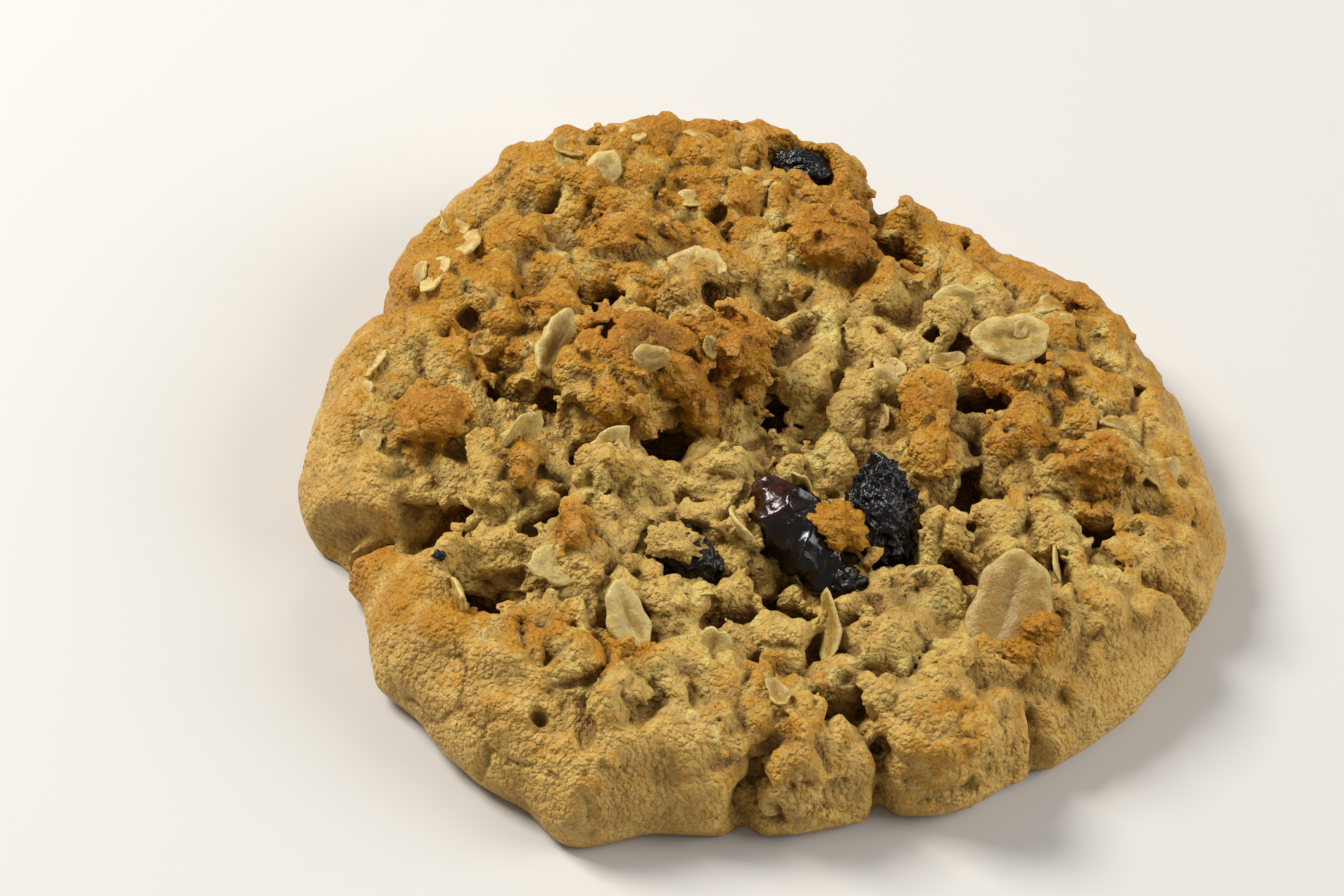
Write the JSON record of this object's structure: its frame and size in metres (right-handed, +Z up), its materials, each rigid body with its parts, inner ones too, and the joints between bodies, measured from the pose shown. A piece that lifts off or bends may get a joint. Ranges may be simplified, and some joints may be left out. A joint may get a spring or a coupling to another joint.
{
  "type": "oatmeal raisin cookie",
  "caption": "Round baked oatmeal raisin cookie with a smooth rounded rim, a rugged crumbly top, raisins and oat flakes set in it, and a flat base.",
  "frame": {"origin": "middle of the whole cookie's box, on its flat base", "axes": "+Z up out of the crumbly top; +X to the right and +Y to the back, with the two raisins side by side at the front right"},
  "size_m": [0.0786, 0.0796, 0.0167],
  "materials": {
    "baked_dough": "matte baked crumb, browned on the crests, pale inside",
    "glossy_raisin": "shiny dark maroon skin, smooth and swollen",
    "dry_raisin": "near-black skin with fine sharp wrinkles",
    "oat_flake": "pale cream rolled oat, slightly waxy"
  },
  "bodies": {
    "root": {"cookie_dough": "baked_dough", "raisin_glossy": "glossy_raisin", "raisin_wrinkled": "dry_raisin", "raisin_half_buried": "dry_raisin", "raisin_back_edge": "dry_raisin", "oat_flake_front_right": "oat_flake", "oat_flake_right_back": "oat_flake", "oat_flake_curled": "oat_flake", "oat_flake_front": "oat_flake"}
  },
  "joints": []
}
